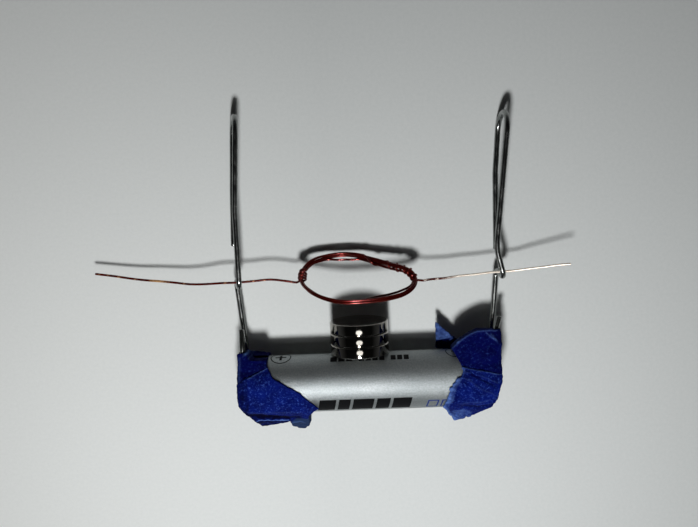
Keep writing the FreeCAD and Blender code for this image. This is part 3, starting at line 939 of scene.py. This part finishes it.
def cut_plane(work, place, keep_side):
    """Cut away what lies behind a plane and close the cut."""
    parts = work.verts[:] + work.edges[:] + work.faces[:]
    bmesh.ops.bisect_plane(work, geom=parts, dist=1e-5, plane_co=place, plane_no=keep_side,
                           clear_inner=True)
    rim = [edge for edge in work.edges if edge.is_boundary]
    bmesh.ops.triangle_fill(work, use_beauty=True, edges=rim)
    bmesh.ops.recalc_face_normals(work, faces=work.faces)


def distance_to_line(points, corners):
    """Distance of points to a line of corners, all seen from above or all from the end."""
    nearest = np.full(len(points), 1e9)
    for start, end in zip(corners, corners[1:]):
        start, run = np.array(start), np.array(end) - np.array(start)
        part = np.clip(((points - start) @ run) / (run @ run), 0.0, 1.0)
        nearest = np.minimum(nearest, np.linalg.norm(points - (start + part[:, None] * run), axis=1))
    return nearest


def inside(points, outline):
    """Whether points, as seen from above, lie inside an outline."""
    hit = np.zeros(len(points), dtype=bool)
    for (x0, y0), (x1, y1) in zip(outline, outline[1:] + outline[:1]):
        crosses = (y0 > points[:, 1]) != (y1 > points[:, 1])
        with np.errstate(divide="ignore", invalid="ignore"):
            where = (x1 - x0) * (points[:, 1] - y0) / (y1 - y0) + x0
        hit ^= crosses & (points[:, 0] < where)
    return hit


def edge_distance(points, outline):
    """Distance to an outline, positive inside."""
    nearest = distance_to_line(points, outline + outline[:1])
    return np.where(inside(points, outline), nearest, -nearest)


def waves(points, per_mm, seed):
    """Smooth noise at so many waves per millimetre, about -1 to 1."""
    offset = Vector((seed, 0.37 * seed, 0.0))
    return np.array([noise.noise(Vector(point) * per_mm + offset) for point in points.tolist()])


def trimmed(points, corners, x_low, x_high):
    """Press what lies outside a line of corners, seen from above, back onto it; the tape is on the
    left of the line."""
    weight = eased(x_low - 0.3, x_low, points[:, 0]) * eased(x_high + 0.3, x_high, points[:, 0])
    for (x0, y0), (x1, y1) in zip(corners, corners[1:]):
        inward = np.array((y0 - y1, x1 - x0)) / math.hypot(x1 - x0, y1 - y0)
        outside = np.maximum(0.0, -((points[:, :2] - np.array((x0, y0))) @ inward)) * weight
        points[:, :2] += outside[:, None] * inward


def shape_left_strip(points):
    """Beside the clip the strip sags towards the table."""
    x, y, z = points.T
    drop = 0.6 * z * eased(-21.9, -20.2, x) * eased(5.3, 7.4, y)
    z -= drop
    y -= 0.42 * drop


def shape_left_wrap(points):
    """The lower corner is cut across and the edge is tucked up towards the cell."""
    points[:, 1] -= 0.2 * np.minimum(0.0, points[:, 1] + 6.0)
    trimmed(points, [(-23.3, -2.9), (-22.15, -5.2), (-20.75, -8.6), (-14.9, -7.2)], -30.0, -15.0)


def shape_right_strip(points):
    """The loose corner is pointed and rises off the table towards its tip."""
    x, y, z = points.T
    loose = eased(17.0, 16.2, x) * eased(3.4, 2.6, z)
    forward = 1.13 * y - 0.64
    pointed = np.minimum(forward, 10.2 - 0.98 * (x - 12.6))
    y += loose * (pointed - y)
    z += 2.2 * loose * eased(5.2, 8.5, y)


def shape_right_wrap(points):
    """The lower corner is folded under in three short runs, and its tip is cut across."""
    trimmed(points, [(14.1, -5.95), (15.7, -8.7)], 10.0, 30.0)
    trimmed(points, [(15.9, -8.95), (19.1, -7.1), (22.0, -4.85), (22.9, -1.4)], 10.0, 30.0)


SLEEVE_COVER = 0.12
HOOK_COVER = CLIP_RADIUS + 0.14


def cover_end(points):
    """Bring the tape on the end of the cell out over the sleeve's corner and the clip's hook."""
    x, y, z = points.T
    around = np.hypot(y, z - CELL_Z)
    short = max(-SLEEVE_START, SLEEVE_END) + SLEEVE_COVER - np.abs(x)
    low = CELL_RADIUS + SLEEVE_COVER - around
    under = (short > 0.0) & (low > 0.0) & (short < 0.9)
    x += np.where(under & (short <= low), short, 0.0) * np.sign(x)
    growth = np.where(under & (low < short), low / np.maximum(around, 1.0), 0.0)
    y += y * growth
    z += (z - CELL_Z) * growth
    side = "left" if x.mean() < 0 else "right"
    reach = abs(CLIPS[side]["cell"])
    hook = [point for point in clip_line(side) if abs(abs(point.x) - reach) < 0.02 and point.y < 6.4]
    away = distance_to_line(points[:, 1:], [(point.y, point.z) for point in hook])
    cover = reach + np.sqrt(np.clip(HOOK_COVER ** 2 - away ** 2, 0.0, None))
    cover = np.where((away < HOOK_COVER) & (np.abs(x) > reach - 0.4), cover, 0.0)
    x[:] = np.maximum(np.abs(x), cover) * np.sign(x)


def make_tape(side, kind, shape, lift, seed, creases, patches, torn=()):
    """The strip or wrap of one end, raised by lift, with creases, patches and wrinkles.

    A crease is (corners, width, height, pale), a patch is (outline, height, pale, slate, rough), and
    torn is a line of corners along which the edge is ragged. A negative pale is painted shade."""
    mesh = tape_blank(side, kind)
    count = len(mesh.vertices)
    points = np.empty(count * 3)
    normals = np.empty(count * 3)
    mesh.vertices.foreach_get("co", points)
    mesh.vertex_normals.foreach_get("vector", normals)
    points = points.reshape(-1, 3)
    normals = normals.reshape(-1, 3)
    shape(points)
    flat = points[:, :2].copy()
    around = np.hypot(points[:, 1], points[:, 2] - CELL_Z)
    outer = np.clip((around - CELL_RADIUS - 0.15) / 0.1, 0.0, 1.0) * np.clip(points[:, 2] / 1.2, 0.0, 1.0)
    upward = np.clip(normals[:, 2] * 2.0 + 0.6, 0.0, 1.0) * outer
    fine = waves(points, 2.6, seed + 3.0)
    medium = waves(points, 1.2, seed + 5.0)
    broad = waves(points, 0.5, seed)
    push = outer * (lift + 0.15 * broad + 0.09 * medium + 0.03 * fine)
    pale = np.zeros(count)
    slate = np.zeros(count)
    # A negative tint is painted shade; a positive one makes the tape paler.
    for corners, width, height, tint in creases:
        reach = distance_to_line(flat + 0.10 * medium[:, None], corners)
        push += height * upward * np.exp(-(reach / width) ** 2)
        pale += tint * upward * np.exp(-(reach / (0.6 * width)) ** 2)
    for outline, height, tint, grey, rough in patches:
        reach = np.clip(edge_distance(flat + 0.12 * fine[:, None], outline) / 0.25 + 0.5, 0.0, 1.0)
        push += upward * reach * (height + rough * medium + 0.5 * rough * fine)
        pale += tint * reach * np.clip(0.75 + 0.9 * medium, 0.2, 1.3)
        slate += grey * reach
    ragged = waves(points, 1.9, seed + 9.0)
    if torn:
        near = np.exp(-(distance_to_line(flat, torn) / 0.35) ** 2)
        sideways = normals * np.array([1.0, 1.0, 0.0])
        points += sideways * (near * (0.42 * ragged - 0.05))[:, None]
        pale += 0.8 * near * np.clip(0.6 + 0.8 * ragged, 0.0, 1.0)
    points += normals * push[:, None]
    cover_end(points)
    points[:, 2] = np.maximum(points[:, 2], 0.01)
    mesh.vertices.foreach_set("co", points.ravel())
    mesh.transform(Matrix.Translation(MIDDLE) @ Matrix.Scale(MM, 4))
    mesh.update()
    set_attribute(mesh, "pale", np.clip(pale, -1.0, 1.0))
    set_attribute(mesh, "slate", np.clip(slate, 0.0, 1.0))
    look = SHADED_STRIP_TAPE if kind == "strip" else WRAP_TAPE
    add_piece(f"{side}_{kind}_paper", mesh, "base", look, "blue_tape", [f"{side}_tape_{kind}"])


def make_tapes():
    """A strip over each end of the cell, and a wrap that laps over it along a seam."""
    make_tape("left", "strip", shape_left_strip, lift=0.0, seed=3.0, creases=[
        ([(-21.8, 6.6), (-20.6, 7.0), (-19.5, 7.05), (-18.6, 6.5)], 0.25, 0.16, 0.5),
        ([(-21.3, 5.8), (-20.3, 6.4), (-19.4, 5.9)], 0.18, 0.12, 0.3),
        ([(-22.9, 5.9), (-22.95, 2.0)], 0.35, 0.12, 0.12),
        ([(-20.8, 5.1), (-18.4, 4.8)], 0.3, -0.12, 0.0),
    ], patches=[
        ([(-22.3, 6.2), (-20.6, 6.6), (-18.3, 6.1), (-18.3, 7.6), (-22.3, 7.6)], 0.0, 0.0, 0.8, 0.05),
    ])
    make_tape("left", "wrap", shape_left_wrap, lift=0.14, seed=7.0, creases=[
        ([(-21.9, 2.2), (-21.0, 2.6), (-18.0, 4.0)], 0.14, 0.05, 0.35),
        ([(-21.9, 3.0), (-22.0, -0.5), (-22.3, -3.3)], 0.35, 0.22, 0.12),
        ([(-21.6, -3.9), (-12.5, -4.0)], 0.35, 0.14, 0.05),
        # Painted shade: a negative pale darkens the lower fold.
        ([(-21.4, -5.2), (-17.9, -5.5), (-15.0, -6.1), (-13.0, -6.2)], 0.75, -0.35, -0.8),
        ([(-21.0, -6.5), (-19.9, -6.1), (-17.6, -6.4), (-15.0, -6.7)], 0.16, 0.25, 1.8),
        ([(-15.2, -8.0), (-14.4, -7.3), (-13.2, -7.0), (-12.2, -7.3)], 0.2, 0.2, 0.3),
    ], patches=[
        ([(-15.0, -9.4), (-14.6, -7.2), (-13.4, -6.4), (-11.4, -6.5), (-11.0, -10.4), (-13.5, -10.4)],
         0.08, 0.0, 1.0, 0.05),
        # Painted shade: negative pales darken the end of the wrap and the stretch along its lower fold.
        ([(-24.0, 3.4), (-21.5, 2.7), (-21.4, -2.2), (-22.1, -5.0), (-24.0, -5.0)],
         0.0, -0.6, 0.0, 0.0),
        ([(-22.5, -3.6), (-20.8, -4.6), (-18.0, -5.0), (-15.0, -5.8), (-14.6, -7.0), (-15.4, -9.5),
          (-22.5, -9.5)], 0.0, -0.8, 0.0, 0.0),
    ])
    make_tape("right", "strip", shape_right_strip, lift=0.0, seed=11.0, creases=[
        ([(15.1, 6.4), (16.8, 7.7), (18.2, 8.6), (19.6, 9.1), (23.1, 9.1)], 0.2, 0.14, 0.28),
        # Painted shade: a negative pale darkens the strip down its end face.
        ([(23.2, 8.8), (23.25, 2.0)], 0.35, 0.14, -0.3),
        ([(22.1, 8.4), (23.4, 6.7)], 0.3, 0.2, 0.22),
        ([(21.1, 8.7), (22.7, 7.5)], 0.2, 0.12, 0.3),
    ], patches=[
        ([(12.3, 6.4), (12.3, 10.4), (14.5, 9.4), (16.6, 8.0), (16.2, 7.2), (15.2, 6.9)],
         0.04, 0.5, 0.2, 0.16),
    ])
    make_tape("right", "wrap", shape_right_wrap, lift=0.12, seed=17.0, creases=[
        ([(16.7, 2.95), (19.6, 2.4), (22.9, 1.7)], 0.14, 0.05, 0.4),
        ([(17.2, 2.3), (20.5, 1.3), (22.6, 0.3)], 0.15, 0.12, 0.12),
        # Painted shade: this crease and the others here with a negative pale are darkened in their folds.
        ([(18.2, 1.9), (20.55, 0.7), (22.43, -0.45)], 0.22, -0.32, -0.4),
        ([(16.8, 1.4), (19.6, -0.6), (22.4, -2.0)], 0.2, 0.15, 0.10),
        ([(17.0, 0.6), (20.0, -2.0), (22.3, -3.2)], 0.25, -0.18, -0.2),
        ([(16.5, -3.3), (19.4, -3.2), (22.3, -2.7)], 0.3, 0.18, 0.12),
        ([(16.96, -4.6), (19.5, -4.9), (22.2, -4.2)], 0.5, -0.35, -0.6),
    ], patches=[
        ([(16.4, 1.3), (15.4, -0.4), (14.9, -2.5), (14.2, -4.0), (14.4, -6.0), (16.0, -7.4),
          (16.2, -10.2), (12.9, -10.2), (12.4, -6.5), (12.4, -4.0), (13.2, -2.5), (13.7, -0.3),
          (15.0, 1.4)], 0.0, 0.24, 0.0, 0.10),
        ([(14.9, -5.4), (16.9, -5.2), (18.4, -6.0), (18.6, -7.6), (17.9, -9.0), (15.4, -10.2)],
         0.05, 0.4, 0.0, 0.26),
    ], torn=[
        (16.7, 2.6), (15.5, 1.0), (14.5, -0.4), (14.0, -2.7), (13.2, -4.1), (13.9, -5.6), (15.85, -8.95),
    ])


# ---- hidden pieces ----
# (name, dark, light, roughness, metallic, grains per mm, the nodes that look like it)
HIDDEN_LOOKS = (
    ("nickelled_steel", (150, 150, 147), (186, 186, 183), 0.28, 1.0, 3.0, ("cell_can", "negative_cap")),
    ("cathode_black", (20, 20, 20), (40, 40, 40), 0.85, 0.0, 4.0,
     ("cathode_ring_1", "cathode_ring_2", "cathode_ring_3")),
    ("cup_paper", (214, 208, 190), (232, 228, 214), 0.9, 0.0, 1.5, ("separator",)),
    ("zinc_paste", (92, 94, 98), (126, 128, 132), 0.5, 0.2, 3.0, ("anode_gel",)),
    ("drawn_brass", (186, 146, 70), (214, 178, 104), 0.3, 1.0, 4.0, ("current_collector",)),
    ("seal_nylon", (214, 210, 198), (230, 226, 216), 0.5, 0.0, 1.5, ("cell_seal",)),
)


def finish_hidden_nodes():
    """Materials of the pieces inside the cell and of its two steel ends: two tones in a mottle."""
    for name, dark, light, roughness, metallic, per_mm, alike in HIDDEN_LOOKS:
        look = Shader(name, Roughness=roughness, Metallic=metallic)
        grain = look.noise(per_mm, detail=4.0, roughness=0.65)
        look.drive("Base Color", look.blend(look.spread(grain, 0.35, 0.7), rgb(*dark), rgb(*light)))
        look.drive("Normal", look.bump(grain, 0.25, 0.05))
        for node in alike:
            nodes[node].data.materials.clear()
            nodes[node].data.materials.append(look.material)


# ---- stage, light and camera ----
LAMP_Z = 146.0


def make_stage():
    """A plain pale sheet, a soft lamp high up on the cell's side, a weak oval one, a dim surround."""
    bpy.ops.mesh.primitive_plane_add(size=3.0, location=(0, 0, 0))
    sheet = bpy.context.object
    sheet.name = "table_sheet"
    sheet.data.materials.append(paper_material())
    bpy.context.scene.world = make_surround()
    lamp("key_lamp", at(-5, -46, LAMP_Z), at(0, 14, 0), width_mm=21.0, height_mm=21.0, power=0.231)
    lamp("catch_lamp", at(0, -23, LAMP_Z), at(0, 8, 0), width_mm=60.0, height_mm=17.0, power=0.0084)


BACKDROP_STRENGTH = 0.5


def make_surround():
    """A studio that is dim overhead and brighter low down all round; the camera sees it evenly pale."""
    world = bpy.data.worlds.new("surround")
    look = Nodes(world)
    direction = look.add("ShaderNodeTexCoord").outputs["Generated"]
    height = look.add("ShaderNodeSeparateXYZ", {0: direction}).outputs["Z"]
    glow = look.spread(height, 0.10, 0.60, 0.08, 0.007)
    values = {"Factor": look.camera_ray(), "A": glow, "B": BACKDROP_STRENGTH}
    back = look.tree.nodes["Background"]
    back.inputs["Color"].default_value = STUDIO_WHITE
    look.tree.links.new(look.add("ShaderNodeMix", values).outputs["Result"], back.inputs["Strength"])
    return world


def lamp(name, place, target, width_mm, height_mm, power):
    """A round or oval area lamp aimed at a point."""
    data = bpy.data.lights.new(name, "AREA")
    data.shape = "ELLIPSE"
    data.size = width_mm * MM
    data.size_y = height_mm * MM
    data.energy = power
    light = linked(name, data)
    light.location = place
    light.rotation_euler = (target - place).to_track_quat("-Z", "Y").to_euler()


CAMERA_PLACE = (2.3, 39.5, 148.4)
CAMERA_TILT = math.radians(-7.09)
CAMERA_PAN = math.radians(1.98)
CAMERA_ROLL = math.radians(-2.40)
FOCAL_PIXELS = 800.0
PHOTO_WIDTH = 698.0
SENSOR_MM = 36.0


def make_camera():
    """The camera looks almost straight down from above the upper hooks of the clips."""
    data = bpy.data.cameras.new("camera")
    data.sensor_width = SENSOR_MM
    data.lens = SENSOR_MM * FOCAL_PIXELS / PHOTO_WIDTH
    data.clip_start = 0.005
    camera = linked("camera", data)
    turn = (Matrix.Rotation(CAMERA_TILT, 4, "X") @ Matrix.Rotation(CAMERA_PAN, 4, "Y")
            @ Matrix.Rotation(CAMERA_ROLL, 4, "Z"))
    camera.matrix_world = Matrix.Translation(at(*CAMERA_PLACE)) @ turn
    bpy.context.scene.camera = camera


make_sleeve()
make_print()
for magnet_node in ("magnet_lower", "magnet_middle", "magnet_upper"):
    make_magnet(magnet_node)
make_clip("left")
make_clip("right")
make_rotor()
make_tapes()
finish_hidden_nodes()
make_stage()
make_camera()
bpy.context.scene.view_settings.view_transform = "Standard"
